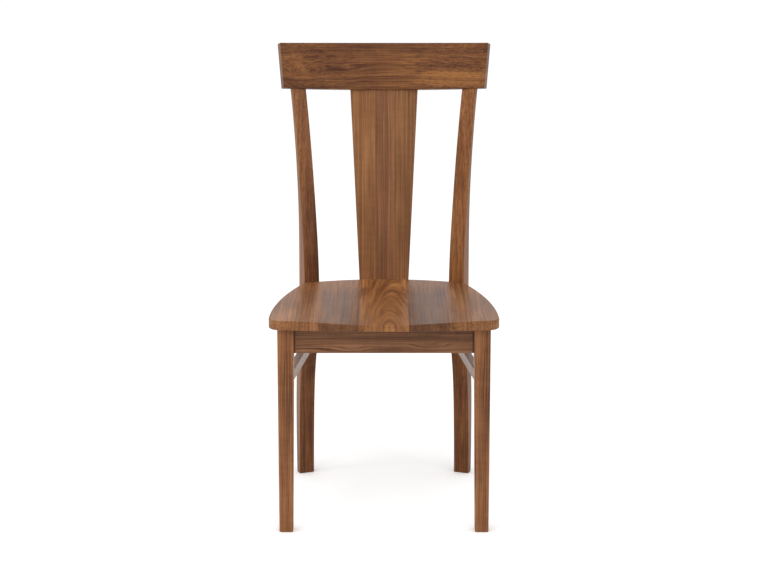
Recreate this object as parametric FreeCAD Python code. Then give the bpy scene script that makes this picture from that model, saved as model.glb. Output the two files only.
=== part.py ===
# T-back side chair in solid walnut, in millimetres.
# X runs to the right as the chair is seen from its front, Y runs from front to back, and Z is up.
# The origin is on the floor, under the middle of the finished chair.
import FreeCAD
import Part
import math
import os
from FreeCAD import Placement, Rotation, Vector

# Seat: a dished panel of five glued boards
SEAT_HEIGHT = 457.0             # floor to the rim
SEAT_THICKNESS = 20.5
SEAT_WIDTH = 472.5
SEAT_DEPTH = 421.0              # front centre to the middle of the back edge
SEAT_FRONT_RADIUS = 1855.0      # bow of the front edge
SEAT_SIDE_RADIUS = 1040.0       # draw-in of the sides
SEAT_WIDEST_SETBACK = 36.0      # widest line, behind the front centre
SEAT_CORNER_RADIUS = 28.0
SEAT_BACK_RADIUS = 423.0        # back edge, and the curve that posts and rear apron follow
SEAT_REAR_CORNER_RADIUS = 8.0
SEAT_TOP_EASE = 1.2
SEAT_BOTTOM_CHAMFER = 1.5
DISH_DEPTH = 6.5
DISH_FLOOR_HALF = 35.0          # level floor of the dish, each side of the middle
DISH_RIM_HALF = 195.0           # where the dish runs out, each side of the middle
DISH_FADE_LENGTH = 190.0        # the dish rises to the rim over this length before the back edge
MIDDLE_BOARD_WIDTH = 102.0
SIDE_BOARD_WIDTH = 82.0
DISH_ROWS = 12                  # stations that shape the dish, front to back
DISH_COLUMNS = 16               # and side to side

# Front legs: square outside, tapered on the two inner faces
LEG_SPREAD = 437.0              # outside to outside
LEG_WIDTH = 34.0
LEG_DEPTH = 37.0
LEG_FOOT_WIDTH = 28.5
LEG_FOOT_DEPTH = 29.0
SEAT_OVERHANG = 24.0            # seat's front centre ahead of the legs' front faces

# Rear posts: leg and back post in one sabre-shaped board, toed square to the seat's back edge
POST_SPACING = 320.0            # middle to middle at the seat
POST_WIDTH = 35.0
POST_TOP_WIDTH = 31.5
SEAT_POST_GAP = 0.3
POST_SHIN_HEIGHT = 125.0        # above the floor
POST_CALF_HEIGHT = 245.0
POST_KNEE_DROP = 28.0           # below the seat's rim
POST_LUMBAR_RISE = 158.0        # above the seat's rim
POST_SHOULDER_RISE = 283.0
POST_TOP_RISE = 422.7
POST_FOOT_SETBACK = 44.0        # front edge behind the knee
POST_SHIN_SETBACK = 40.0
POST_CALF_SETBACK = 29.0
POST_LUMBAR_SETBACK = 15.0
POST_SHOULDER_SETBACK = 35.5
POST_TOP_SETBACK = 67.0
POST_FOOT_DEPTH = 19.0
POST_SHIN_DEPTH = 25.5
POST_CALF_DEPTH = 31.0
POST_KNEE_DEPTH = 37.5
POST_LUMBAR_DEPTH = 23.5
POST_SHOULDER_DEPTH = 17.0
POST_TOP_DEPTH = 16.5

# Crest rail: a curved board across the top, leaning back
CREST_RADIUS = 700.0            # middle of its thickness
CREST_THICKNESS = 22.0
CREST_HEIGHT = 99.8             # at its ends
CREST_CROWN = 4.0               # extra height in the middle
CREST_LENGTH = 448.0            # bottom edge, end to end
CREST_END_SPLAY = 5.1           # degrees
CREST_LEAN = 11.5               # degrees
CREST_EASE = 1.5

# Back splat: a flat tapered board of three glued staves, from the rear apron to the crest rail
SPLAT_THICKNESS = 14.0
SPLAT_FOOT_WIDTH = 110.0        # at the seat's rim
SPLAT_TOP_WIDTH = 150.0
SPLAT_STAVE_WIDTH = 39.0        # the middle stave
SPLAT_NOTCH = 3.0               # let into the seat's back edge

# Aprons
APRON_HEIGHT = 52.0
APRON_THICKNESS = 20.0
APRON_SETBACK = 6.0             # front apron behind the legs' front faces
REAR_APRON_THICKNESS = 29.0
REAR_APRON_LEDGE = 10.0         # how far it reaches under the seat

# Side stretchers
STRETCHER_BOTTOM = 306.0        # above the floor
STRETCHER_HEIGHT = 24.0
STRETCHER_THICKNESS = 16.0

# Mortise and tenon joints
JOINT_CLEARANCE = 0.15          # glue line round a tenon
GLUE_WELL = 1.0                 # mortise deeper than its tenon
APRON_TENON_THICKNESS = 9.0
APRON_TENON_SHOULDER = 8.0      # above and below the tenon
APRON_TENON_OFFSET = 3.5        # side apron's tenon, towards its outer face
FRONT_TENON_LENGTH = 20.0
SIDE_TENON_LENGTH = 13.0        # into the front leg
SIDE_POST_TENON_LENGTH = 12.0   # into the rear post
REAR_TENON_LENGTH = 8.0
REAR_TENON_SHOULDER = 3.0       # behind the rear apron's tenon
STRETCHER_TENON_THICKNESS = 9.0
STRETCHER_TENON_SHOULDER = 4.0
STRETCHER_TENON_LENGTH = 15.0
CREST_TENON_LENGTH = 28.0
POST_TENON_THICKNESS = 9.0
POST_TENON_WIDTH = 20.0
SPLAT_TENON_THICKNESS = 8.0
SPLAT_TENON_SHOULDER = 15.0     # each side of the splat's tenons
SPLAT_FOOT_TENON_LENGTH = 20.0

# Corner blocks and their screws
BLOCK_HEIGHT = 32.0
BLOCK_REACH = 58.0              # along each apron, from the leg or post
BLOCK_SCREW_INSET = 15.0        # from the thin end of the block
BLOCK_SCREW_SEAT = 11.0         # wood under the head
BLOCK_SCREW_BITE = 14.0         # into the apron
SEAT_SCREW_BITE = 12.0          # into the seat
SEAT_SCREW_INSET = 20.0         # from the middle of the block's long face
SCREW_RADIUS = 2.1
SCREW_POINT = 4.0
SCREW_HEAD_RADIUS = 4.2
SCREW_HEAD_HEIGHT = 2.6
SCREW_SLOT_WIDTH = 1.0
SCREW_SLOT_LENGTH = 5.2
SCREW_SLOT_DEPTH = 1.4
SCREW_CLEARANCE = 0.1
COUNTERBORE_CLEARANCE = 0.8

# Eased edges
FOOT_EASE = 3.5
LEG_EASE = 2.0
POST_EASE = 2.0
RAIL_EASE = 1.5
SPLAT_EASE = 2.0

# Cutting blocks reach this far past the wood that they trim
CUT_REACH = 300.0

# An edge runs along an axis when at least this share of its length does
MOSTLY = 0.9

# Heights and places that follow from the sizes
UP = Vector(0, 0, 1)
BACKWARD = Vector(0, 1, 0)
SEAT_UNDERSIDE = SEAT_HEIGHT - SEAT_THICKNESS
APRON_BOTTOM = SEAT_UNDERSIDE - APRON_HEIGHT
LEG_FRONT = SEAT_OVERHANG
LEG_BACK = LEG_FRONT + LEG_DEPTH
LEG_OUTER = LEG_SPREAD / 2
LEG_INNER = LEG_OUTER - LEG_WIDTH
LEG_MIDDLE = LEG_OUTER - LEG_WIDTH / 2
BACK_CENTRE = Vector(0, SEAT_DEPTH - SEAT_BACK_RADIUS, 0)
POST_FACE_RADIUS = SEAT_BACK_RADIUS + SEAT_POST_GAP
POST_TOE = math.asin(POST_SPACING / 2 / POST_FACE_RADIUS)
POST_FACE_MIDDLE = BACK_CENTRE + Vector(math.sin(POST_TOE), math.cos(POST_TOE), 0) * POST_FACE_RADIUS
POST_TOP_HEIGHT = SEAT_HEIGHT + POST_TOP_RISE
POST_TOP_SHIFT = (POST_WIDTH - POST_TOP_WIDTH) / 2
SPLAT_FRONT = SEAT_DEPTH - SPLAT_NOTCH
REAR_APRON_INNER = SEAT_BACK_RADIUS - REAR_APRON_LEDGE
REAR_APRON_OUTER = REAR_APRON_INNER + REAR_APRON_THICKNESS

# Frame of the right rear post: X outward across its width, Y back along its depth
POST_FRAME = Placement(POST_FACE_MIDDLE, Rotation(UP, -math.degrees(POST_TOE)))

# Frame of the crest rail: X across, Y back through its thickness, Z up its face, from its bottom middle
CREST_TURN = Rotation(Vector(1, 0, 0), -CREST_LEAN)
POST_TOP_MIDDLE = POST_FRAME.multVec(Vector(POST_TOP_SHIFT, POST_TOP_SETBACK + POST_TOP_DEPTH / 2,
                                            POST_TOP_HEIGHT))
CREST_POST_ANGLE = math.asin(POST_TOP_MIDDLE.x / CREST_RADIUS)
CREST_POST_SAG = CREST_RADIUS * (1 - math.cos(CREST_POST_ANGLE))
CREST_RUN_OUT = CREST_TURN.multVec(Vector(0, CREST_POST_SAG, 0))
CREST_ORIGIN = Vector(0, POST_TOP_MIDDLE.y, POST_TOP_MIDDLE.z) + CREST_RUN_OUT
CREST_FRAME = Placement(CREST_ORIGIN, CREST_TURN)

# Frame of the splat: from the middle of its thickness at the seat's rim, Z up its length
SPLAT_ORIGIN = Vector(0, SPLAT_FRONT + SPLAT_THICKNESS / 2, SEAT_HEIGHT)
SPLAT_RUN = CREST_ORIGIN - SPLAT_ORIGIN
SPLAT_LENGTH = SPLAT_RUN.Length
SPLAT_LEAN = math.degrees(math.atan2(SPLAT_RUN.y, SPLAT_RUN.z))
SPLAT_FRAME = Placement(SPLAT_ORIGIN, Rotation(Vector(1, 0, 0), -SPLAT_LEAN))


def placed(shape, frame):
    """A copy of a shape that was drawn in a piece's own frame, set in the chair's frame."""
    copy = shape.copy()
    copy.Placement = frame.multiply(copy.Placement)
    return copy


def mirrored(shape):
    """The left-hand twin of a right-hand piece."""
    return shape.mirror(Vector(0, 0, 0), Vector(1, 0, 0))


def flipped(point):
    """The left-hand twin of a right-hand point."""
    return Vector(-point.x, point.y, point.z)


def main_solid(shape):
    """The largest solid of a cut, without its offcuts."""
    return max(shape.Solids, key=lambda solid: solid.Volume)


def block(x_from, x_to, y_from, y_to, z_from, z_to):
    """A box between two corners."""
    return Part.makeBox(x_to - x_from, y_to - y_from, z_to - z_from, Vector(x_from, y_from, z_from))


def prism(points, depth):
    """A flat polygon pushed along a vector."""
    return Part.Face(Part.makePolygon(points + points[:1])).extrude(depth)


def eased(shape, radius, wanted):
    """A shape with some of its edges rounded."""
    return shape.makeFillet(radius, [edge for edge in shape.Edges if wanted(edge)])


def runs_along(edge, axis):
    """Whether an edge runs mostly along an axis."""
    run = edge.lastVertex().Point - edge.firstVertex().Point
    return abs(run.dot(axis)) > MOSTLY * edge.Length


def on_floor(edge):
    return edge.BoundBox.ZMax < POST_EASE / 2


def circles_meet(centre_a, radius_a, centre_b, radius_b, side):
    """Where two circles in the seat's plane meet, on the given side of the line between their centres."""
    run = centre_b - centre_a
    along = (run.Length ** 2 + radius_a ** 2 - radius_b ** 2) / (2 * run.Length)
    across = math.sqrt(radius_a ** 2 - along ** 2)
    forward = run / run.Length
    return centre_a + forward * along + Vector(-forward.y, forward.x, 0) * (across * side)


def arc_round(centre, radius, start, end):
    """The short arc round a centre."""
    middle = (start + end) / 2 - centre
    return Part.Arc(start, centre + middle * (radius / middle.Length), end).toShape()


def smooth_step(value):
    """Rises from 0 to 1 with level ends."""
    value = min(max(value, 0.0), 1.0)
    return value * value * (3 - 2 * value)


def seat_outline():
    """Bowed front, rounded front corners, drawn-in sides and curved back edge, at the seat's underside."""
    front_centre = Vector(0, SEAT_FRONT_RADIUS, 0)
    side_centre = Vector(SEAT_WIDTH / 2 - SEAT_SIDE_RADIUS, SEAT_WIDEST_SETBACK, 0)
    corner_centre = circles_meet(front_centre, SEAT_FRONT_RADIUS - SEAT_CORNER_RADIUS,
                                 side_centre, SEAT_SIDE_RADIUS - SEAT_CORNER_RADIUS, 1)
    rear_corner = circles_meet(BACK_CENTRE, SEAT_BACK_RADIUS, side_centre, SEAT_SIDE_RADIUS, -1)
    to_front = corner_centre - front_centre
    to_side = corner_centre - side_centre
    front_end = front_centre + to_front * (SEAT_FRONT_RADIUS / to_front.Length)
    side_start = side_centre + to_side * (SEAT_SIDE_RADIUS / to_side.Length)
    right = [arc_round(corner_centre, SEAT_CORNER_RADIUS, front_end, side_start),
             arc_round(side_centre, SEAT_SIDE_RADIUS, side_start, rear_corner)]
    left = [mirrored(edge) for edge in right]
    front = arc_round(front_centre, SEAT_FRONT_RADIUS, flipped(front_end), front_end)
    back = arc_round(BACK_CENTRE, SEAT_BACK_RADIUS, rear_corner, flipped(rear_corner))
    wire = Part.Wire(Part.__sortEdges__([front, back] + right + left))
    wire.translate(UP * SEAT_UNDERSIDE)
    return wire


def dish_height(x, y):
    """Height of the seat's top: level rim at the sides and back, shallow dish that runs out at the front."""
    across = smooth_step((DISH_RIM_HALF - abs(x)) / (DISH_RIM_HALF - DISH_FLOOR_HALF))
    along = smooth_step((SEAT_DEPTH - y) / DISH_FADE_LENGTH)
    return SEAT_HEIGHT - DISH_DEPTH * across * along


def below_dish():
    """Everything under the seat's dished top."""
    side = SEAT_WIDTH / 2 + SEAT_CORNER_RADIUS
    grid = []
    for row in range(DISH_ROWS + 1):
        y = -SEAT_CORNER_RADIUS + (SEAT_DEPTH + 2 * SEAT_CORNER_RADIUS) * row / DISH_ROWS
        line = []
        for column in range(DISH_COLUMNS + 1):
            x = -side + 2 * side * column / DISH_COLUMNS
            line.append(Vector(x, y, dish_height(x, y)))
        grid.append(line)
    surface = Part.BSplineSurface()
    surface.interpolate(grid)
    return surface.toShape().extrude(UP * (-2 * SEAT_THICKNESS))


def seat_panel():
    """The whole dished seat with eased edges, notched for the splat, before it is parted into its boards."""
    slab = Part.Face(seat_outline()).extrude(UP * (2 * SEAT_THICKNESS))
    slab = eased(slab, SEAT_REAR_CORNER_RADIUS,
                 lambda edge: runs_along(edge, UP) and edge.CenterOfMass.y > SEAT_DEPTH / 2)
    panel = main_solid(slab.common(below_dish()))
    bottom = SEAT_UNDERSIDE + SEAT_BOTTOM_CHAMFER / 2
    bottom_edges = [edge for edge in panel.Edges if edge.BoundBox.ZMax < bottom]
    panel = panel.makeChamfer(SEAT_BOTTOM_CHAMFER, bottom_edges)
    top = SEAT_HEIGHT - DISH_DEPTH - SEAT_TOP_EASE
    panel = eased(panel, SEAT_TOP_EASE, lambda edge: edge.BoundBox.ZMin > top)
    return panel.cut(splat_blank(JOINT_CLEARANCE))


def splat_blank(clearance):
    """The splat's tapered board, longer than finished at both ends."""
    grow = (SPLAT_TOP_WIDTH - SPLAT_FOOT_WIDTH) / 2 / SPLAT_LENGTH
    extra = 2 * SEAT_THICKNESS
    foot_half = SPLAT_FOOT_WIDTH / 2 - grow * extra + clearance
    top_half = SPLAT_TOP_WIDTH / 2 + grow * extra + clearance
    half = SPLAT_THICKNESS / 2 + clearance
    corners = [Vector(-foot_half, -half, -extra), Vector(foot_half, -half, -extra),
               Vector(top_half, -half, SPLAT_LENGTH + extra), Vector(-top_half, -half, SPLAT_LENGTH + extra)]
    return placed(prism(corners, Vector(0, 2 * half, 0)), SPLAT_FRAME)


def splat_tenon(frame, width, length_below, length_above, clearance):
    """A splat tenon: a flat tongue through the frame's origin, or with clearance the mortise for it."""
    half = width / 2 - SPLAT_TENON_SHOULDER + clearance
    thick = SPLAT_TENON_THICKNESS / 2 + clearance
    return placed(block(-half, half, -thick, thick, -length_below, length_above), frame)


def splat_foot_tenon(clearance, extra):
    """Tongue at the splat's foot, down into the rear apron."""
    length = SPLAT_FOOT_TENON_LENGTH + SEAT_THICKNESS + extra
    return splat_tenon(SPLAT_FRAME, SPLAT_FOOT_WIDTH, length, 0, clearance)


def splat_top_tenon(clearance, extra):
    """Tongue at the splat's head, up into the crest rail."""
    return splat_tenon(CREST_FRAME, SPLAT_TOP_WIDTH, SEAT_THICKNESS, CREST_TENON_LENGTH + extra, clearance)


def above_crest_line():
    """Everything above the crest rail's bottom edge."""
    return placed(block(-CUT_REACH, CUT_REACH, -CUT_REACH, CUT_REACH, 0, CUT_REACH), CREST_FRAME)


def splat():
    """The finished splat, before it is parted into its staves."""
    board = eased(splat_blank(0), SPLAT_EASE, lambda edge: runs_along(edge, UP))
    below_apron_top = block(-CUT_REACH, CUT_REACH, 0, SEAT_DEPTH + CUT_REACH, 0, SEAT_UNDERSIDE)
    board = board.cut(above_crest_line()).cut(below_apron_top)
    return board.fuse([splat_foot_tenon(0, 0), splat_top_tenon(0, 0)]).removeSplitter()


def rectangle(x_from, x_to, y_from, y_to, z):
    """A level rectangle, as a closed wire."""
    return Part.makePolygon([Vector(x_from, y_from, z), Vector(x_to, y_from, z), Vector(x_to, y_to, z),
                             Vector(x_from, y_to, z), Vector(x_from, y_from, z)])


def leg_blank():
    """Right front leg without rounding or mortises: outer and front faces upright, the others tapered."""
    foot = rectangle(LEG_OUTER - LEG_FOOT_WIDTH, LEG_OUTER, LEG_FRONT, LEG_FRONT + LEG_FOOT_DEPTH, 0)
    top = rectangle(LEG_INNER, LEG_OUTER, LEG_FRONT, LEG_BACK, SEAT_UNDERSIDE)
    return Part.makeLoft([foot, top], True, True)


def front_leg(mortises):
    """Right front leg with eased edges and a rounded foot."""
    leg = eased(leg_blank(), FOOT_EASE, on_floor)
    leg = eased(leg, LEG_EASE, lambda edge: edge.Length > SEAT_HEIGHT / 2)
    return main_solid(leg.cut(mortises))


def post_curve(offsets):
    """A smooth edge of the post through its stations, upright at the knee, run on past the crest line."""
    heights = [0, POST_SHIN_HEIGHT, POST_CALF_HEIGHT, SEAT_HEIGHT - POST_KNEE_DROP,
               SEAT_HEIGHT + POST_LUMBAR_RISE, SEAT_HEIGHT + POST_SHOULDER_RISE, POST_TOP_HEIGHT]
    points = [Vector(0, offset, height) for offset, height in zip(offsets, heights)]
    curve = Part.BSplineCurve()
    curve.interpolate(Points=points, Tangents=[UP] * len(points),
                      TangentFlags=[height == SEAT_HEIGHT - POST_KNEE_DROP for height in heights])
    heading = curve.tangent(curve.LastParameter)[0]
    return curve.toShape(), points[0], points[-1], points[-1] + heading * CREST_THICKNESS


def post_front_curve():
    return post_curve([POST_FOOT_SETBACK, POST_SHIN_SETBACK, POST_CALF_SETBACK, 0,
                       POST_LUMBAR_SETBACK, POST_SHOULDER_SETBACK, POST_TOP_SETBACK])


def post_back_curve():
    return post_curve([POST_FOOT_SETBACK + POST_FOOT_DEPTH, POST_SHIN_SETBACK + POST_SHIN_DEPTH,
                       POST_CALF_SETBACK + POST_CALF_DEPTH, POST_KNEE_DEPTH,
                       POST_LUMBAR_SETBACK + POST_LUMBAR_DEPTH, POST_SHOULDER_SETBACK + POST_SHOULDER_DEPTH,
                       POST_TOP_SETBACK + POST_TOP_DEPTH])


def post_profile(front, back):
    """Side view of the post between two edge curves, as a face in the post's frame."""
    front_edge, front_foot, front_top, front_end = front
    back_edge, back_foot, back_top, back_end = back
    edges = [front_edge, Part.makeLine(front_top, front_end), Part.makeLine(front_end, back_end),
             Part.makeLine(back_end, back_top), back_edge, Part.makeLine(back_foot, front_foot)]
    return Part.Face(Part.Wire(Part.__sortEdges__(edges)))


def post_blank():
    """Right rear post in its own frame: a sawn board, tapered above the seat on its inner face."""
    board = post_profile(post_front_curve(), post_back_curve()).extrude(Vector(POST_WIDTH, 0, 0))
    board.translate(Vector(-POST_WIDTH / 2, 0, 0))
    inner = -POST_WIDTH / 2
    top_inner = POST_WIDTH / 2 - POST_TOP_WIDTH
    rise = (POST_TOP_RISE + CREST_THICKNESS) / POST_TOP_RISE
    end_inner = inner + (top_inner - inner) * rise
    end_height = SEAT_HEIGHT + POST_TOP_RISE * rise
    waste = [Vector(inner, -CUT_REACH, SEAT_HEIGHT), Vector(end_inner, -CUT_REACH, end_height),
             Vector(inner, -CUT_REACH, end_height)]
    return main_solid(board.cut(prism(waste, Vector(0, 2 * CUT_REACH, 0))))


def behind_post_face():
    """Everything behind the right post's front face, to trim the rails that meet it."""
    edge, foot, top, end = post_front_curve()
    far_top = Vector(0, CUT_REACH, end.z)
    far_foot = Vector(0, CUT_REACH, 0)
    edges = [edge, Part.makeLine(top, end), Part.makeLine(end, far_top), Part.makeLine(far_top, far_foot),
             Part.makeLine(far_foot, foot)]
    face = Part.Face(Part.Wire(Part.__sortEdges__(edges)))
    space = face.extrude(Vector(2 * POST_SPACING, 0, 0))
    space.translate(Vector(-POST_SPACING, 0, 0))
    return placed(space, POST_FRAME)


def post_top_tenon(clearance, extra):
    """Tongue at the right post's head, square to the crest rail, up into it."""
    square = Rotation(UP, -math.degrees(CREST_POST_ANGLE))
    spot = Placement(Vector(POST_TOP_MIDDLE.x, -CREST_POST_SAG, 0), square)
    half = POST_TENON_WIDTH / 2 + clearance
    thick = POST_TENON_THICKNESS / 2 + clearance
    tongue = block(-half, half, -thick, thick, -CREST_THICKNESS, CREST_TENON_LENGTH + extra)
    return placed(tongue, CREST_FRAME.multiply(spot))


def rear_post(mortises):
    """Right rear post with eased edges, cut off under the crest rail, with its tongue."""
    board = eased(post_blank(), POST_EASE, lambda edge: edge.Length > POST_LUMBAR_RISE or on_floor(edge))
    board = placed(board, POST_FRAME).cut(above_crest_line())
    board = board.fuse(post_top_tenon(0, 0)).removeSplitter()
    return main_solid(board.cut(mortises))


def crest_rail():
    """Curved board with a crowned top edge, ends square to its curve and splayed, eased all round."""
    tall = CREST_HEIGHT + CREST_CROWN
    centre = Vector(0, -CREST_RADIUS, 0)
    ring = Part.makeCylinder(CREST_RADIUS + CREST_THICKNESS / 2, 2 * tall, centre)
    ring = ring.cut(Part.makeCylinder(CREST_RADIUS - CREST_THICKNESS / 2, 2 * tall, centre))
    half = CREST_LENGTH / 2
    wide = half + tall
    crown_radius = (half ** 2 + CREST_CROWN ** 2) / (2 * CREST_CROWN)
    crown_axis = Vector(0, -CUT_REACH, tall - crown_radius)
    face = Part.makeCylinder(crown_radius, 2 * CUT_REACH, crown_axis, BACKWARD)
    face = face.common(block(-wide, wide, -CUT_REACH, CUT_REACH, 0, 2 * tall))
    board = main_solid(ring.common(face))
    end_angle = math.asin(half / CREST_RADIUS)
    for side in (1, -1):
        turn = Rotation(UP, -side * math.degrees(end_angle))
        turn = turn.multiply(Rotation(BACKWARD, side * CREST_END_SPLAY))
        end = Vector(side * half, -CREST_RADIUS * (1 - math.cos(end_angle)), 0)
        waste = block(0, CUT_REACH, -CUT_REACH, CUT_REACH, -CUT_REACH, CUT_REACH)
        if side < 0:
            waste = mirrored(waste)
        board = board.cut(placed(waste, Placement(end, turn)))
    board = main_solid(board)
    board = board.makeFillet(CREST_EASE, board.Edges)
    board = placed(board, CREST_FRAME)
    post_mortise = post_top_tenon(JOINT_CLEARANCE, GLUE_WELL)
    return board.cut([post_mortise, mirrored(post_mortise), splat_top_tenon(JOINT_CLEARANCE, GLUE_WELL)])


def post_face_offset(height):
    """How far the right post's front face stands behind its knee at a height."""
    level = Part.makeLine(Vector(0, -CUT_REACH, height), Vector(0, CUT_REACH, height))
    distance, nearest, features = post_front_curve()[0].distToShape(level)
    return nearest[0][0].y


def side_rail_run(height):
    """Frame and length of a right side rail at a height, from leg to post."""
    share = height / SEAT_UNDERSIDE
    leg_width = LEG_FOOT_WIDTH + (LEG_WIDTH - LEG_FOOT_WIDTH) * share
    leg_depth = LEG_FOOT_DEPTH + (LEG_DEPTH - LEG_FOOT_DEPTH) * share
    start = Vector(LEG_OUTER - leg_width / 2, LEG_FRONT + leg_depth, 0)
    end = POST_FRAME.multVec(Vector(0, post_face_offset(height), 0))
    run = end - start
    return Placement(start, Rotation(UP, math.degrees(math.atan2(-run.x, run.y)))), run.Length


def side_rail(run, thickness, bottom, height, wanted):
    """A right side rail between leg and post, without tenons, with the wanted long edges eased."""
    frame, length = run
    half = thickness / 2
    bar = block(-half, half, -LEG_FOOT_DEPTH / 2, length + POST_WIDTH, bottom, bottom + height)
    bar = placed(eased(bar, RAIL_EASE, wanted), frame)
    return main_solid(bar.cut([leg_blank(), behind_post_face()]))


def lengthwise(edge):
    return runs_along(edge, BACKWARD)


SIDE_APRON_RUN = side_rail_run(APRON_BOTTOM + APRON_HEIGHT / 2)
STRETCHER_RUN = side_rail_run(STRETCHER_BOTTOM + STRETCHER_HEIGHT / 2)
FRONT_APRON_FRONT = LEG_FRONT + APRON_SETBACK
FRONT_APRON_BACK = FRONT_APRON_FRONT + APRON_THICKNESS
TENON_BOTTOM = APRON_BOTTOM + APRON_TENON_SHOULDER
TENON_TOP = SEAT_UNDERSIDE - APRON_TENON_SHOULDER


def side_apron_tenon(clearance, extra):
    """Tongue through the right side apron, into leg and post."""
    frame, length = SIDE_APRON_RUN
    half = APRON_TENON_THICKNESS / 2 + clearance
    tongue = block(APRON_TENON_OFFSET - half, APRON_TENON_OFFSET + half,
                   -SIDE_TENON_LENGTH - extra, length + SIDE_POST_TENON_LENGTH + extra,
                   TENON_BOTTOM - clearance, TENON_TOP + clearance)
    return placed(tongue, frame)


def side_apron_body():
    """Right side apron without tenons, its two lower edges eased."""
    return side_rail(SIDE_APRON_RUN, APRON_THICKNESS, APRON_BOTTOM, APRON_HEIGHT,
                     lambda edge: lengthwise(edge) and edge.CenterOfMass.z < TENON_BOTTOM)


def side_apron(holes):
    apron = side_apron_body().fuse(side_apron_tenon(0, 0)).removeSplitter()
    return main_solid(apron.cut(holes))


def stretcher_tenon(clearance, extra):
    """Tongue through the right side stretcher, into leg and post."""
    frame, length = STRETCHER_RUN
    half = STRETCHER_TENON_THICKNESS / 2 + clearance
    tongue = block(-half, half, -STRETCHER_TENON_LENGTH - extra, length + STRETCHER_TENON_LENGTH + extra,
                   STRETCHER_BOTTOM + STRETCHER_TENON_SHOULDER - clearance,
                   STRETCHER_BOTTOM + STRETCHER_HEIGHT - STRETCHER_TENON_SHOULDER + clearance)
    return placed(tongue, frame)


def side_stretcher():
    """Right side stretcher, all four long edges eased."""
    bar = side_rail(STRETCHER_RUN, STRETCHER_THICKNESS, STRETCHER_BOTTOM, STRETCHER_HEIGHT, lengthwise)
    return main_solid(bar.fuse(stretcher_tenon(0, 0)).removeSplitter())


def front_apron_tenon(clearance, extra):
    """Tongue along the front apron, into both front legs."""
    middle = (FRONT_APRON_FRONT + FRONT_APRON_BACK) / 2
    half = APRON_TENON_THICKNESS / 2 + clearance
    end = LEG_INNER + FRONT_TENON_LENGTH + extra
    return block(-end, end, middle - half, middle + half, TENON_BOTTOM - clearance, TENON_TOP + clearance)


def front_apron(holes):
    board = block(-LEG_MIDDLE, LEG_MIDDLE, FRONT_APRON_FRONT, FRONT_APRON_BACK, APRON_BOTTOM, SEAT_UNDERSIDE)
    board = eased(board, RAIL_EASE,
                  lambda edge: edge.BoundBox.ZMax < TENON_BOTTOM and edge.Length > LEG_MIDDLE)
    board = main_solid(board.cut([leg_blank(), mirrored(leg_blank())]))
    board = board.fuse(front_apron_tenon(0, 0)).removeSplitter()
    return main_solid(board.cut(holes))


def rear_apron_tenon(clearance, extra):
    """Tongue at the right end of the rear apron, into the post's inner face."""
    rear = REAR_APRON_OUTER - POST_FACE_RADIUS - REAR_TENON_SHOULDER
    face = -POST_WIDTH / 2
    tongue = block(face - APRON_TENON_SHOULDER, face + REAR_TENON_LENGTH + extra,
                   rear - APRON_TENON_THICKNESS - clearance, rear + clearance,
                   TENON_BOTTOM - clearance, TENON_TOP + clearance)
    return placed(tongue, POST_FRAME)


def rear_apron_body():
    """Curved rear apron between the posts' inner faces, without tenons, its two lower edges eased."""
    ring = Part.makeCylinder(REAR_APRON_OUTER, APRON_HEIGHT, BACK_CENTRE + UP * APRON_BOTTOM)
    ring = ring.cut(Part.makeCylinder(REAR_APRON_INNER, APRON_HEIGHT, BACK_CENTRE + UP * APRON_BOTTOM))
    ring = ring.common(block(-POST_SPACING, POST_SPACING, SEAT_DEPTH / 2, 2 * SEAT_DEPTH, 0, SEAT_HEIGHT))
    beside = placed(block(-POST_WIDTH / 2, CUT_REACH, -CUT_REACH, CUT_REACH, 0, SEAT_HEIGHT), POST_FRAME)
    board = main_solid(ring.cut([beside, mirrored(beside)]))
    low = APRON_BOTTOM + RAIL_EASE / 2
    return eased(board, RAIL_EASE, lambda edge: edge.BoundBox.ZMax < low and edge.Length > POST_SPACING / 2)


def rear_apron(holes):
    tenon = rear_apron_tenon(0, 0)
    board = rear_apron_body().fuse([tenon, mirrored(tenon)]).removeSplitter()
    return main_solid(board.cut(holes + [splat_foot_tenon(JOINT_CLEARANCE, GLUE_WELL)]))


def wood_screw(length):
    """Pan-head wood screw along Z, its head under the origin, with a cross slot."""
    head = Part.makeCylinder(SCREW_HEAD_RADIUS, SCREW_HEAD_HEIGHT, Vector(0, 0, -SCREW_HEAD_HEIGHT))
    head = eased(head, SCREW_HEAD_HEIGHT / 2, lambda edge: edge.BoundBox.ZMax < -SCREW_HEAD_HEIGHT / 2)
    shank = Part.makeCylinder(SCREW_RADIUS, length - SCREW_POINT)
    point = Part.makeCone(SCREW_RADIUS, 0, SCREW_POINT, Vector(0, 0, length - SCREW_POINT))
    screw = head.fuse([shank, point]).removeSplitter()
    half = SCREW_SLOT_LENGTH / 2
    thin = SCREW_SLOT_WIDTH / 2
    floor = SCREW_SLOT_DEPTH - SCREW_HEAD_HEIGHT
    slots = [block(-half, half, -thin, thin, -SCREW_HEAD_HEIGHT, floor),
             block(-thin, thin, -half, half, -SCREW_HEAD_HEIGHT, floor)]
    return main_solid(screw.cut(slots))


def screw_hole(length):
    """Bore for a wood screw, with a counterbore behind its head."""
    bore = Part.makeCylinder(SCREW_RADIUS + SCREW_CLEARANCE, length + SCREW_CLEARANCE)
    well_radius = SCREW_HEAD_RADIUS + COUNTERBORE_CLEARANCE
    well = Part.makeCylinder(well_radius, BLOCK_REACH, Vector(0, 0, -BLOCK_REACH))
    return bore.fuse(well)


def screw_pair(spot, heading, length):
    """A wood screw whose head bears at a spot, and its hole."""
    frame = Placement(spot, Rotation(UP, heading))
    return placed(wood_screw(length), frame), placed(screw_hole(length), frame)


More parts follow.
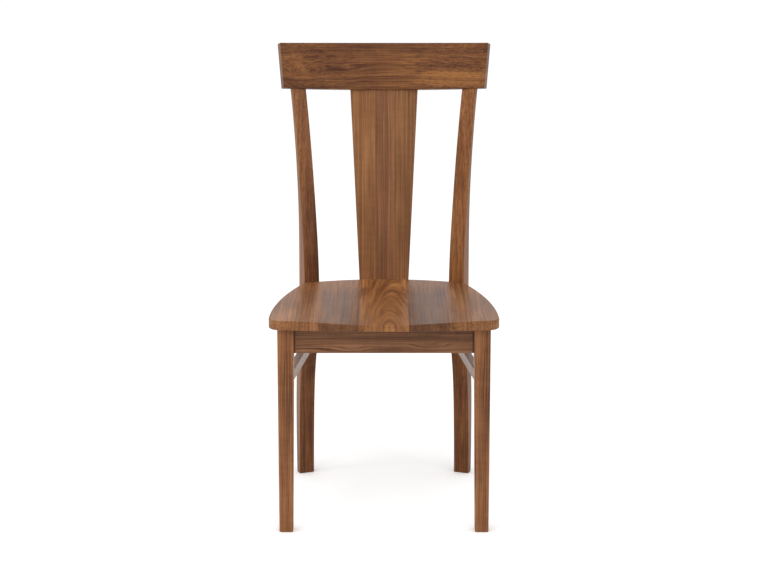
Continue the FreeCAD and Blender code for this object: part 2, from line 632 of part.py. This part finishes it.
BLOCK_BOTTOM = SEAT_UNDERSIDE - BLOCK_HEIGHT
BLOCK_MIDDLE = UP * (SEAT_UNDERSIDE - BLOCK_HEIGHT / 2)
BLOCK_SCREW_LENGTH = BLOCK_SCREW_SEAT + BLOCK_SCREW_BITE
SEAT_SCREW_LENGTH = BLOCK_HEIGHT + SEAT_SCREW_BITE


def side_apron_screw(along):
    """Screw from a right-hand block into the side apron, at a distance from the leg."""
    frame = SIDE_APRON_RUN[0]
    spot = frame.multVec(Vector(-APRON_THICKNESS / 2 - BLOCK_SCREW_SEAT, along, 0)) + BLOCK_MIDDLE
    return screw_pair(spot, frame.Rotation.multVec(Vector(1, 0, 0)), BLOCK_SCREW_LENGTH)


def seat_screw(end_a, end_b, corner):
    """Screw up through a block into the seat, behind the middle of the block's long face."""
    middle = (end_a + end_b) / 2
    inward = corner - middle
    spot = middle + inward * (SEAT_SCREW_INSET / inward.Length)
    return screw_pair(spot + UP * BLOCK_BOTTOM, UP, SEAT_SCREW_LENGTH)


def corner_block(outline, neighbours, holes):
    """A block that fills its corner of the seat frame between its neighbours."""
    blank = prism([point + UP * BLOCK_BOTTOM for point in outline], UP * BLOCK_HEIGHT)
    return main_solid(main_solid(blank.cut(neighbours)).cut(holes))


def front_corner():
    """Right front corner block, with its apron screw, side screw and seat screw as screw and hole pairs."""
    frame = SIDE_APRON_RUN[0]
    apron_end = Vector(LEG_INNER - BLOCK_REACH, FRONT_APRON_BACK, 0)
    side_end = frame.multVec(Vector(-APRON_THICKNESS / 2, BLOCK_REACH, 0))
    side_core = frame.multVec(Vector(0, BLOCK_REACH, 0))
    corner = Vector(LEG_MIDDLE, FRONT_APRON_BACK, 0)
    spot = apron_end + Vector(BLOCK_SCREW_INSET, BLOCK_SCREW_SEAT, 0) + BLOCK_MIDDLE
    screws = [screw_pair(spot, Vector(0, -1, 0), BLOCK_SCREW_LENGTH),
              side_apron_screw(BLOCK_REACH - BLOCK_SCREW_INSET),
              seat_screw(apron_end, side_end, corner)]
    body = corner_block([apron_end, corner, side_core, side_end], [leg_blank(), side_apron_body()],
                        [hole for screw, hole in screws])
    return body, screws


def back_point(radius, angle):
    """A point on the back's curve."""
    return BACK_CENTRE + Vector(math.sin(angle), math.cos(angle), 0) * radius


def rear_corner():
    """Right rear corner block, with its apron screw, side screw and seat screw as screw and hole pairs."""
    frame, length = SIDE_APRON_RUN
    end_angle = POST_TOE - (POST_WIDTH / 2 + BLOCK_REACH) / REAR_APRON_INNER
    screw_angle = end_angle + BLOCK_SCREW_INSET / REAR_APRON_INNER
    apron_end = back_point(REAR_APRON_INNER, end_angle)
    apron_core = back_point(REAR_APRON_INNER + REAR_APRON_LEDGE, end_angle)
    side_end = frame.multVec(Vector(-APRON_THICKNESS / 2, length - BLOCK_REACH, 0))
    side_core = frame.multVec(Vector(0, length - BLOCK_REACH, 0))
    spot = back_point(REAR_APRON_INNER - BLOCK_SCREW_SEAT, screw_angle) + BLOCK_MIDDLE
    heading = Vector(math.sin(screw_angle), math.cos(screw_angle), 0)
    screws = [screw_pair(spot, heading, BLOCK_SCREW_LENGTH),
              side_apron_screw(length - BLOCK_REACH + BLOCK_SCREW_INSET),
              seat_screw(apron_end, side_end, POST_FACE_MIDDLE)]
    body = corner_block([apron_end, side_end, side_core, POST_FACE_MIDDLE, apron_core],
                        [rear_apron_body(), side_apron_body(), behind_post_face()],
                        [hole for screw, hole in screws])
    return body, screws


def strips(shape, bounds):
    """A panel parted into boards at upright glue lines, from left to right."""
    box = shape.BoundBox
    lines = [box.XMin] + bounds + [box.XMax]
    boards = []
    for left, right in zip(lines, lines[1:]):
        boards.append(main_solid(shape.common(block(left, right, box.YMin, box.YMax, box.ZMin, box.ZMax))))
    return boards


def chair():
    """Every piece of the chair by name, with Y measured from the seat's front centre."""
    front_block, front_screws = front_corner()
    rear_block, rear_screws = rear_corner()
    front_hole, front_side_hole, front_seat_hole = [hole for screw, hole in front_screws]
    rear_hole, rear_side_hole, rear_seat_hole = [hole for screw, hole in rear_screws]
    side_mortises = [side_apron_tenon(JOINT_CLEARANCE, GLUE_WELL),
                     stretcher_tenon(JOINT_CLEARANCE, GLUE_WELL)]
    twins = {
        "front_leg": front_leg(side_mortises + [front_apron_tenon(JOINT_CLEARANCE, GLUE_WELL)]),
        "rear_post": rear_post(side_mortises + [rear_apron_tenon(JOINT_CLEARANCE, GLUE_WELL)]),
        "side_apron": side_apron([front_side_hole, rear_side_hole]),
        "side_stretcher": side_stretcher(),
        "corner_block_front": front_block,
        "corner_block_rear": rear_block,
    }
    pieces = {
        "crest_rail": crest_rail(),
        "front_apron": front_apron([front_hole, mirrored(front_hole)]),
        "rear_apron": rear_apron([rear_hole, mirrored(rear_hole)]),
    }
    for name, piece in twins.items():
        pieces[name + "_right"] = piece
        pieces[name + "_left"] = mirrored(piece)
    seat_holes = [front_seat_hole, rear_seat_hole]
    panel = seat_panel().cut(seat_holes + [mirrored(hole) for hole in seat_holes])
    inner_line = MIDDLE_BOARD_WIDTH / 2
    outer_line = inner_line + SIDE_BOARD_WIDTH
    boards = strips(panel, [-outer_line, -inner_line, inner_line])
    for name, board in zip(["far_left", "left", "middle"], boards):
        pieces["seat_board_" + name] = board
    for name, board in zip(["far_right", "right"], boards):
        pieces["seat_board_" + name] = mirrored(board)
    splat_line = SPLAT_STAVE_WIDTH / 2
    for name, stave in zip(["left", "middle", "right"], strips(splat(), [-splat_line, splat_line])):
        pieces["back_splat_" + name] = stave
    block_screws = [screw for screw, hole in front_screws[:2] + rear_screws[:2]]
    seat_screws = [front_screws[2][0], rear_screws[2][0]]
    pieces["block_screws"] = Part.makeCompound(block_screws + [mirrored(screw) for screw in block_screws])
    pieces["seat_screws"] = Part.makeCompound(seat_screws + [mirrored(screw) for screw in seat_screws])
    return pieces


os.makedirs("parts", exist_ok=True)
pieces = chair()
middle = pieces["crest_rail"].optimalBoundingBox().YMax / 2
for name, piece in pieces.items():
    piece.translate(Vector(0, -middle, 0))
    piece.exportStep(os.path.join("parts", name + ".step"))
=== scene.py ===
import bpy
import math
from collections import namedtuple
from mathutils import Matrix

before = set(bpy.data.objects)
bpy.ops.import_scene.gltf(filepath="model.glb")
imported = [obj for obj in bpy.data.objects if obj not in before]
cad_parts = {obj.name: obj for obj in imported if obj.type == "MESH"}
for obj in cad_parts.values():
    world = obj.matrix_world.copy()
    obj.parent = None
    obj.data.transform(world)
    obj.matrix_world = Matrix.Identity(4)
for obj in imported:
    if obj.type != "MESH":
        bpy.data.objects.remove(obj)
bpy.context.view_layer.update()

# Rear posts: leg and back post sawn in one sabre curve from a straight-grained walnut board,
# planed, eased along their edges and lacquered satin. Each is tenoned into the crest rail.
def linear(code):
    """A colour written as sRGB hex, as the linear values that sockets take."""
    channels = [int(code[i:i + 2], 16) / 255 for i in (1, 3, 5)]
    return [c / 12.92 if c <= 0.04045 else ((c + 0.055) / 1.055) ** 2.4 for c in channels] + [1.0]


def metres(lengths):
    """Lengths in mm, in metres."""
    return [mm / 1000 for mm in lengths]


def per_metre(sizes):
    """How often a pattern of these sizes in mm fits into a metre."""
    return [1000 / mm for mm in sizes]


def socket(node, name):
    """A node's input by number, or by name among those that are in use."""
    if isinstance(name, int):
        return node.inputs[name]
    return next(s for s in node.inputs if s.name == name and s.enabled)


def add_node(tree, kind, settings, links):
    """Adds a node, sets its properties and sockets by name, and links sockets to other outputs."""
    node = tree.nodes.new(kind)
    for name, value in settings.items():
        if isinstance(name, str) and hasattr(node, name):
            setattr(node, name, value)
        else:
            socket(node, name).default_value = value
    for name, output in links.items():
        tree.links.new(output, socket(node, name))
    return node


# An eye in the wood, or a patch of painted light or shade: a spot on the chair, its reach and the
# swell of the rings round it in mm, and how much paler, or below zero darker, the wood is there
EyeOrPaintedLight = namedtuple("EyeOrPaintedLight", "spot reach swell shade", defaults=(0, 0.0))


def walnut(name, colours, turn, cut, figure, eyes_and_painted_light=(), index=1.3):
    """Black walnut under satin lacquer, in three browns from pale to dark. The turned axes are X
    across the growth rings, Y along them and Z with the grain, and pattern sizes are in that order.
    The cut says where the board lay in the log and the figure how far its rings wander, both in mm.
    The lacquer's index is below a real one's 1.5, because it hardly mirrors straight on."""
    pale, brown, dark = [linear(code) for code in colours]
    wood = bpy.data.materials.new(name)
    wood.use_nodes = True
    tree = wood.node_tree
    shader = tree.nodes["Principled BSDF"]
    place = add_node(tree, "ShaderNodeTexCoord", {}, {})
    board = add_node(tree, "ShaderNodeMapping",
                     {"Rotation": [math.radians(angle) for angle in turn], "Location": metres(cut)},
                     {"Vector": place.outputs["Object"]})
    axes = add_node(tree, "ShaderNodeSeparateXYZ", {}, {"Vector": board.outputs["Vector"]})
    # Depth in the log: rings wander over 45 mm across the board and 420 mm along it, and swell
    # round the eyes
    wander_size = (45, 45, 420)
    drift = add_node(tree, "ShaderNodeMapping", {"Scale": per_metre(wander_size)},
                     {"Vector": board.outputs["Vector"]})
    wander = add_node(tree, "ShaderNodeTexNoise", {"Scale": 1.0, "Detail": 2.5},
                      {"Vector": drift.outputs["Vector"]})
    depth = add_node(tree, "ShaderNodeMath", {"operation": "MULTIPLY_ADD", 1: 2 * figure / 1000},
                     {0: wander.outputs["Fac"], 2: axes.outputs["X"]})
    shades = []
    for eye_or_painted_light in eyes_and_painted_light:
        away = add_node(tree, "ShaderNodeVectorMath", {"operation": "SUBTRACT", 1: metres(eye_or_painted_light.spot)},
                        {0: place.outputs["Object"]})
        share = add_node(tree, "ShaderNodeVectorMath",
                         {"operation": "MULTIPLY", 1: per_metre(eye_or_painted_light.reach)},
                         {0: away.outputs["Vector"]})
        span = add_node(tree, "ShaderNodeVectorMath", {"operation": "LENGTH"},
                        {0: share.outputs["Vector"]})
        hump = add_node(tree, "ShaderNodeMapRange",
                        {"interpolation_type": "SMOOTHSTEP", "From Min": 1.0, "From Max": 0.0},
                        {"Value": span.outputs["Value"]})
        depth = add_node(tree, "ShaderNodeMath", {"operation": "MULTIPLY_ADD", 1: eye_or_painted_light.swell / 1000},
                         {0: hump.outputs["Result"], 2: depth.outputs["Value"]})
        shades.append((hump.outputs["Result"], eye_or_painted_light.shade))
    grain = add_node(tree, "ShaderNodeCombineXYZ", {},
                     {"X": depth.outputs["Value"], "Y": axes.outputs["Y"], "Z": axes.outputs["Z"]})
    # Growth rings about 8 mm apart, coarser than real ones so that they show. By spells of 25 mm
    # they grew wider and narrower. The last part of each year's ring is dark late wood.
    ring_width = 8
    spell_width = 25
    spell_years = 6.0
    late_start = 0.7
    late_darkness = 0.65
    spells = add_node(tree, "ShaderNodeMath", {"operation": "DIVIDE", 1: spell_width / 1000},
                      {0: depth.outputs["Value"]})
    growth = add_node(tree, "ShaderNodeTexNoise",
                      {"noise_dimensions": "1D", "Scale": 1.0, "Detail": 2.0},
                      {"W": spells.outputs["Value"]})
    years = add_node(tree, "ShaderNodeMath", {"operation": "DIVIDE", 1: ring_width / 1000},
                     {0: depth.outputs["Value"]})
    count = add_node(tree, "ShaderNodeMath", {"operation": "MULTIPLY_ADD", 1: spell_years},
                     {0: growth.outputs["Fac"], 2: years.outputs["Value"]})
    ring = add_node(tree, "ShaderNodeMath", {"operation": "FRACT"}, {0: count.outputs["Value"]})
    late = add_node(tree, "ShaderNodeMapRange",
                    {"From Min": late_start, "From Max": 1.0, "To Max": late_darkness},
                    {"Value": ring.outputs["Value"]})
    # Bands about 12 mm wide that grew paler or darker
    band_width = 12
    decades = add_node(tree, "ShaderNodeMath", {"operation": "DIVIDE", 1: band_width / 1000},
                       {0: depth.outputs["Value"]})
    bands = add_node(tree, "ShaderNodeTexNoise",
                     {"noise_dimensions": "1D", "Scale": 1.0, "Detail": 5.0, "Roughness": 0.75},
                     {"W": decades.outputs["Value"]})
    # Fibres from 2 mm down to a quarter of one wide, wider than real ones so that they show
    fibre_size = (2.2, 5, 280)
    combed = add_node(tree, "ShaderNodeMapping", {"Scale": per_metre(fibre_size)},
                      {"Vector": grain.outputs["Vector"]})
    fibres = add_node(tree, "ShaderNodeTexNoise", {"Scale": 1.0, "Detail": 4.0, "Roughness": 0.65},
                      {"Vector": combed.outputs["Vector"]})
    # Soft clouds that give the board its depth, and a faint ripple across the grain
    cloud_size = (40, 40, 180)
    cloudy = add_node(tree, "ShaderNodeMapping", {"Scale": per_metre(cloud_size)},
                      {"Vector": grain.outputs["Vector"]})
    clouds = add_node(tree, "ShaderNodeTexNoise", {"Scale": 1.0, "Detail": 3.0},
                      {"Vector": cloudy.outputs["Vector"]})
    ripple_size = (30, 30, 9)
    rippled = add_node(tree, "ShaderNodeMapping", {"Scale": per_metre(ripple_size)},
                       {"Vector": grain.outputs["Vector"]})
    ripple = add_node(tree, "ShaderNodeTexNoise", {"Scale": 1.0, "Detail": 2.0},
                      {"Vector": rippled.outputs["Vector"]})
    # Open pores: sparse dark lines about 1 mm wide and 75 mm long, coarser than real so that they
    # show. They lie where their noise is high.
    pore_size = (2.0, 2.0, 160)
    pore_start = 0.56
    pore_full = 0.68
    pore_darkness = 0.6
    dashed = add_node(tree, "ShaderNodeMapping", {"Scale": per_metre(pore_size)},
                      {"Vector": grain.outputs["Vector"]})
    pores = add_node(tree, "ShaderNodeTexNoise", {"Scale": 1.0, "Detail": 1.0},
                     {"Vector": dashed.outputs["Vector"]})
    pore = add_node(tree, "ShaderNodeMapRange", {"From Min": pore_start, "From Max": pore_full},
                    {"Value": pores.outputs["Fac"]})
    pitted = add_node(tree, "ShaderNodeMath", {"operation": "MULTIPLY", 1: pore_darkness},
                      {0: pore.outputs["Result"]})
    # Tone: bands, fibres, clouds, ripple, eyes and painted light or shade added up, from dark
    # through brown to pale
    band_share = 0.8
    fibre_share = 1.1
    cloud_share = 0.9
    ripple_share = 0.18
    dark_tone = 1.17
    brown_tone = 1.49
    pale_tone = 1.81
    tone = add_node(tree, "ShaderNodeMath", {"operation": "MULTIPLY", 1: band_share},
                    {0: bands.outputs["Fac"]})
    patterns = [(fibres.outputs["Fac"], fibre_share), (clouds.outputs["Fac"], cloud_share),
                (ripple.outputs["Fac"], ripple_share)]
    for pattern, weight in patterns + shades:
        tone = add_node(tree, "ShaderNodeMath", {"operation": "MULTIPLY_ADD", 1: weight},
                        {0: pattern, 2: tone.outputs["Value"]})
    rise = add_node(tree, "ShaderNodeMapRange", {"From Min": dark_tone, "From Max": brown_tone},
                    {"Value": tone.outputs["Value"]})
    glow = add_node(tree, "ShaderNodeMapRange", {"From Min": brown_tone, "From Max": pale_tone},
                    {"Value": tone.outputs["Value"]})
    lower = add_node(tree, "ShaderNodeMix", {"data_type": "RGBA", "A": dark, "B": brown},
                     {"Factor": rise.outputs["Result"]})
    upper = add_node(tree, "ShaderNodeMix", {"data_type": "RGBA", "B": pale},
                     {"Factor": glow.outputs["Result"], "A": lower.outputs["Result"]})
    ringed = add_node(tree, "ShaderNodeMix", {"data_type": "RGBA", "B": dark},
                      {"Factor": late.outputs["Result"], "A": upper.outputs["Result"]})
    colour = add_node(tree, "ShaderNodeMix", {"data_type": "RGBA", "B": dark},
                      {"Factor": pitted.outputs["Value"], "A": ringed.outputs["Result"]})
    tree.links.new(colour.outputs["Result"], shader.inputs["Base Color"])
    # Satin lacquer: fibres vary its roughness a little and the pores dimple it by up to 0.2 mm
    smooth = 0.33
    rough = 0.45
    gloss = add_node(tree, "ShaderNodeMapRange",
                     {"From Min": 0.3, "From Max": 0.7, "To Min": smooth, "To Max": rough},
                     {"Value": fibres.outputs["Fac"]})
    tree.links.new(gloss.outputs["Result"], shader.inputs["Roughness"])
    dimple = add_node(tree, "ShaderNodeBump",
                      {"invert": True, "Strength": 0.15, "Distance": 0.0002},
                      {"Height": pore.outputs["Result"]})
    tree.links.new(dimple.outputs["Normal"], shader.inputs["Normal"])
    shader.inputs["IOR"].default_value = index
    return wood


def finish_node(node, material):
    """Gives a piece of the frame its finish."""
    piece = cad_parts[node]
    piece.data.materials.clear()
    piece.data.materials.append(material)


# The left post is painted darker towards the seat and at its foot, painted shade, and paler along
# its outer edge, a painted highlight. The right one is more golden. The grain turns with the posts'
# toe.
POST_TOE = 8
finish_node("rear_post_left",
            walnut("walnut_left_post", ("#a46c3f", "#8a5734", "#5e361b"),
                   turn=(0, 0, POST_TOE), cut=(60, 140, 30), figure=6,
                   # Painted shade low on the front face and at the foot, and a painted highlight
                   # along the outer edge
                   eyes_and_painted_light=[EyeOrPaintedLight(spot=(-138, 150, 430), reach=(42, 200, 400), shade=-0.5),
                         EyeOrPaintedLight(spot=(-165, 150, 60), reach=(90, 150, 300), shade=-0.08),
                         EyeOrPaintedLight(spot=(-197, 150, 500), reach=(30, 300, 700), shade=0.5)]))
finish_node("rear_post_right",
            walnut("walnut_right_post", ("#aa7244", "#8e5932", "#623719"),
                   turn=(0, 0, -POST_TOE), cut=(-70, 150, 230), figure=9,
                   # Painted shade towards the foot, under the seat
                   eyes_and_painted_light=[EyeOrPaintedLight(spot=(165, 150, 180), reach=(90, 150, 340), shade=-0.12),
                         EyeOrPaintedLight(spot=(140, 150, 520), reach=(60, 200, 200), shade=0.25)]))

# Rear apron: a curved walnut rail between the posts that carries the back of the seat and the
# splat's foot, sawn from a thick board, so its grain runs straight across.
CROSSWISE = (0, 90, 0)
PLAIN_RAIL_BROWNS = ("#a16c3e", "#855735", "#57341b")
finish_node("rear_apron",
            walnut("walnut_rear_apron", PLAIN_RAIL_BROWNS,
                   turn=CROSSWISE, cut=(120, 60, 10), figure=6))

# Back splat: three upright walnut staves glued edge to edge and planed flat, each from another
# board. The grain follows the splat's lean.
SPLAT_LEAN = 8.1
SPLAT_STAVES = {
    "left": dict(colours=("#b68154", "#9c6a42", "#754a2b"), cut=(90, 60, 0), figure=4),
    "middle": dict(colours=("#a4714d", "#8b5d3d", "#6b4329"), cut=(30, 160, 120), figure=7),
    "right": dict(colours=("#a8764d", "#8e603c", "#6b4327"), cut=(-100, 80, 310), figure=4),
}
for side, stave in SPLAT_STAVES.items():
    finish_node("back_splat_" + side,
                walnut("walnut_splat_" + side, turn=(SPLAT_LEAN, 0, 0), **stave))

# Crest rail: the top bar of the T, one thick walnut board sawn and sanded to a curve, with long
# sideways grain. A knot under the left end makes the rings swell into an eye with dark wood beside
# it, and the lower right is golden.
finish_node("crest_rail",
            walnut("walnut_crest_rail", ("#a46d3d", "#7c4e2d", "#492512"),
                   turn=CROSSWISE, cut=(-870, 120, 40), figure=9,
                   eyes_and_painted_light=[EyeOrPaintedLight(spot=(-184, 215, 915), reach=(64, 80, 21), swell=21, shade=-0.05),
                         EyeOrPaintedLight(spot=(-92, 215, 917), reach=(105, 80, 20), swell=8, shade=-0.2),
                         EyeOrPaintedLight(spot=(165, 215, 903), reach=(125, 80, 24), swell=4, shade=0.75)]))

# Front legs: square walnut posts tapered on their inner faces, mortised for the aprons and the
# stretchers, lacquered like the rest. They grow a little paler towards the feet.
UPRIGHT = (0, 0, 0)
FRONT_LEGS = {
    "left": dict(colours=("#c28657", "#9e6740", "#5c341c"), cut=(260, 300, 420),
                 eyes_and_painted_light=[EyeOrPaintedLight(spot=(-190, -205, 0), reach=(150, 150, 260), shade=0.17)]),
    "right": dict(colours=("#bd8354", "#98633e", "#553019"), cut=(-150, 300, 410),
                  eyes_and_painted_light=[EyeOrPaintedLight(spot=(190, -205, 0), reach=(150, 150, 260), shade=0.17)]),
}
for side, leg in FRONT_LEGS.items():
    finish_node("front_leg_" + side,
                walnut("walnut_" + side + "_leg", turn=UPRIGHT, figure=10, **leg))

# Front and side aprons: walnut rails on edge under the seat, tenoned into legs and posts.
# The front one has a dark eye right of its middle, and painted shade in the corners at its ends.
finish_node("front_apron",
            walnut("walnut_front_apron", ("#ad7956", "#8d6141", "#563420"),
                   turn=CROSSWISE, cut=(-410, 300, 60), figure=13,
                   eyes_and_painted_light=[EyeOrPaintedLight(spot=(95, -205, 398), reach=(75, 40, 15), swell=24, shade=-0.3),
                         EyeOrPaintedLight(spot=(-70, -205, 388), reach=(110, 40, 16), swell=18),
                         # Painted shade: a dark line at each end, in the corner against the leg
                         EyeOrPaintedLight(spot=(-185, -205, 400), reach=(5, 60, 300), shade=-1.2),
                         EyeOrPaintedLight(spot=(185, -205, 400), reach=(5, 60, 300), shade=-1.2)]))
LENGTHWISE = (90, 0, 90)
for side in ("left", "right"):
    finish_node("side_apron_" + side,
                walnut("walnut_side_apron_" + side, PLAIN_RAIL_BROWNS,
                       turn=LENGTHWISE, cut=(140, 450, 20), figure=6))

# Side stretchers: slim walnut bars, eased on all four edges, that tie each front leg to its post.
# They are tenoned at both ends, and their lacquer mirrors more than on the other pieces.
for side in ("left", "right"):
    # Their browns are paler than the rails', a painted sheen for the light that glances off their
    # inner faces
    finish_node("side_stretcher_" + side,
                walnut("walnut_stretcher_" + side, ("#bb7e49", "#9b663f", "#663e21"),
                       turn=LENGTHWISE, cut=(110, 360, 40), figure=4, index=1.6))

# Corner blocks: offcuts of pale hardwood, sawn, inside the seat frame. Their grain is drawn as the
# walnut's is. Each is screwed to the two aprons that it braces.
block_wood = walnut("bare_block_hardwood", ("#bf9c6f", "#ad8a5c", "#8c6c46"),
                    turn=CROSSWISE, cut=(90, 50, 0), figure=8)
for corner in ("front_left", "front_right", "rear_left", "rear_right"):
    finish_node("corner_block_" + corner, block_wood)

# Screws: zinc-plated steel, pan heads with a cross slot, dulled by handling. They hold the corner
# blocks to the aprons and the seat to the blocks.
screw_steel = bpy.data.materials.new("zinc_plated_steel")
screw_steel.use_nodes = True
steel_tree = screw_steel.node_tree
steel = steel_tree.nodes["Principled BSDF"]
steel_place = add_node(steel_tree, "ShaderNodeTexCoord", {}, {})
# Crystals of the plating show as a 2 mm mottle, coarser than real so that it shows
MOTTLE_SIZE = 2
BRIGHT_ROUGHNESS = 0.25
DULL_ROUGHNESS = 0.45
mottle = add_node(steel_tree, "ShaderNodeTexNoise", {"Scale": 1000 / MOTTLE_SIZE, "Detail": 3.0},
                  {"Vector": steel_place.outputs["Object"]})
steel_gloss = add_node(steel_tree, "ShaderNodeMapRange",
                       {"To Min": BRIGHT_ROUGHNESS, "To Max": DULL_ROUGHNESS},
                       {"Value": mottle.outputs["Fac"]})
plating = add_node(steel_tree, "ShaderNodeMix",
                   {"data_type": "RGBA", "A": linear("#b9babd"), "B": linear("#9fa09f")},
                   {"Factor": mottle.outputs["Fac"]})
steel_tree.links.new(steel_gloss.outputs["Result"], steel.inputs["Roughness"])
steel_tree.links.new(plating.outputs["Result"], steel.inputs["Base Color"])
steel.inputs["Metallic"].default_value = 1.0
for group in ("block_screws", "seat_screws"):
    finish_node(group, screw_steel)

# Seat: five walnut boards glued edge to edge with the grain from front to back, dished and eased.
# The middle board is cut through the heart and shows arches, the outer ones run straight.
# With the board lying flat, X stays across and the grain turns to run along Y.
ALONG_SEAT = (90, 0, 0)
SEAT_BOARDS = {
    "far_left": dict(colours=("#b98155", "#98653f", "#623a1e"), cut=(300, -380, 0), figure=5),
    # The left and right boards are painted paler towards the back, a painted sheen
    "left": dict(colours=("#9f693f", "#7b5132", "#4e2c16"), cut=(180, -420, 120), figure=6,
                 eyes_and_painted_light=[EyeOrPaintedLight(spot=(-100, 150, 455), reach=(110, 150, 90), shade=0.55)]),
    "middle": dict(colours=("#c88a52", "#a36b3f", "#563019"), cut=(0, -475, 240), figure=9,
                   eyes_and_painted_light=[EyeOrPaintedLight(spot=(6, -700, 450), reach=(66, 1000, 3000), swell=300)]),
    "right": dict(colours=("#8f603c", "#714a2f", "#492914"), cut=(-190, -420, 60), figure=6,
                  eyes_and_painted_light=[EyeOrPaintedLight(spot=(100, 150, 455), reach=(110, 150, 90), shade=0.5)]),
    "far_right": dict(colours=("#b57e51", "#92603b", "#5e391c"), cut=(-320, -390, 330), figure=5),
}
for side, board in SEAT_BOARDS.items():
    finish_node("seat_board_" + side,
                walnut("walnut_seat_" + side, turn=ALONG_SEAT, **board))

# Studio: white floor that keeps the chair's soft shadow, lit from above and in front.
# What only shows the background, to the eye or in a gloss, is lifted to white.
WHITE = (1, 1, 1, 1)
bpy.ops.object.select_all(action="DESELECT")
bpy.ops.mesh.primitive_plane_add(size=60, location=(0, 0, 0))
floor = bpy.context.object
floor.name = "studio_floor"
paper = bpy.data.materials.new("white_paper")
paper.use_nodes = True
paper_tree = paper.node_tree
paper_shader = paper_tree.nodes["Principled BSDF"]
paper_shader.inputs["Base Color"].default_value = linear("#f4f4f4")
paper_shader.inputs["Roughness"].default_value = 1.0
paper_shader.inputs["Specular IOR Level"].default_value = 0.0
paper_shader.inputs["Emission Color"].default_value = WHITE
# The lamps light the floor less away from the chair, so from half a metre to 4 m off it is lifted
# more and more. Close to the feet it is lifted less, which leaves their contact shadows.
NEAR = 0.5
FAR = 4.0
NEAR_LIFT = 0.56
FAR_LIFT = 0.66
CONTACT_REACH = 0.12
paper_place = add_node(paper_tree, "ShaderNodeTexCoord", {}, {})
stretch = add_node(paper_tree, "ShaderNodeVectorMath", {"operation": "LENGTH"},
                   {0: paper_place.outputs["Object"]})
floor_lift = add_node(paper_tree, "ShaderNodeMapRange",
                      {"From Min": NEAR, "From Max": FAR, "To Min": NEAR_LIFT, "To Max": FAR_LIFT},
                      {"Value": stretch.outputs["Value"]})
foot_gap = add_node(paper_tree, "ShaderNodeAmbientOcclusion", {"Distance": CONTACT_REACH}, {})
open_lift = add_node(paper_tree, "ShaderNodeMath", {"operation": "MULTIPLY"},
                     {0: floor_lift.outputs["Result"], 1: foot_gap.outputs["AO"]})
world = bpy.data.worlds.new("studio")
world.use_nodes = True
bpy.context.scene.world = world
surround = world.node_tree.nodes["Background"]
surround.inputs["Color"].default_value = WHITE
# To other rays the floor doesn't glow, and the sky lights the chair at a plain level
SKY_LIGHT = 0.4
lifted_floor = {"To Max": open_lift.outputs["Value"]}
for tree, strength, plain, lifted in (
        (paper_tree, paper_shader.inputs["Emission Strength"], 0.0, lifted_floor),
        (world.node_tree, surround.inputs["Strength"], SKY_LIGHT, {})):
    path = add_node(tree, "ShaderNodeLightPath", {}, {})
    mirrored = add_node(tree, "ShaderNodeMath", {"operation": "MAXIMUM"},
                        {0: path.outputs["Is Camera Ray"], 1: path.outputs["Is Glossy Ray"]})
    shown = add_node(tree, "ShaderNodeMath", {"operation": "MAXIMUM"},
                     {0: mirrored.outputs["Value"], 1: path.outputs["Is Transmission Ray"]})
    level = add_node(tree, "ShaderNodeMapRange", {"To Min": plain, "To Max": 1.0},
                     {"Value": shown.outputs["Value"], **lifted})
    tree.links.new(level.outputs["Result"], strength)
floor.data.materials.append(paper)


def softbox(name, place, target, size, power):
    """A square soft light that faces a target, in metres and watts."""
    lamp = bpy.data.lights.new(name, "AREA")
    lamp.shape = "SQUARE"
    lamp.size = size
    lamp.energy = power
    box = bpy.data.objects.new(name, lamp)
    bpy.context.scene.collection.objects.link(box)
    box.location = place
    aim = [t - p for t, p in zip(target, place)]
    across = math.hypot(aim[0], aim[1])
    box.rotation_euler = (math.atan2(across, -aim[2]), 0, math.atan2(-aim[0], aim[1]))


softbox("key", place=(-0.2, -2.0, 4.0), target=(0, 0, 0.5), size=3.6, power=74)
softbox("left_fill", place=(-4.0, -1.4, 2.0), target=(0, 0.1, 0.5), size=1.4, power=32)
softbox("right_fill", place=(3.2, -2.4, 2.0), target=(0, 0.1, 0.5), size=1.2, power=15)

# Camera: a long lens in front of the chair, a little above its top and looking down at the seat.
# It stands square to the chair, as for a catalogue picture.
LOOK_DOWN = 12.248
lens = bpy.data.cameras.new("camera")
lens.sensor_width = 36.0
lens.lens = 89.0
camera = bpy.data.objects.new("camera", lens)
bpy.context.scene.collection.objects.link(camera)
camera.location = (0.0, -4.0033, 1.3410)
camera.rotation_euler = (math.radians(90 - LOOK_DOWN), 0, 0)
bpy.context.scene.camera = camera
bpy.context.scene.view_settings.view_transform = "Standard"
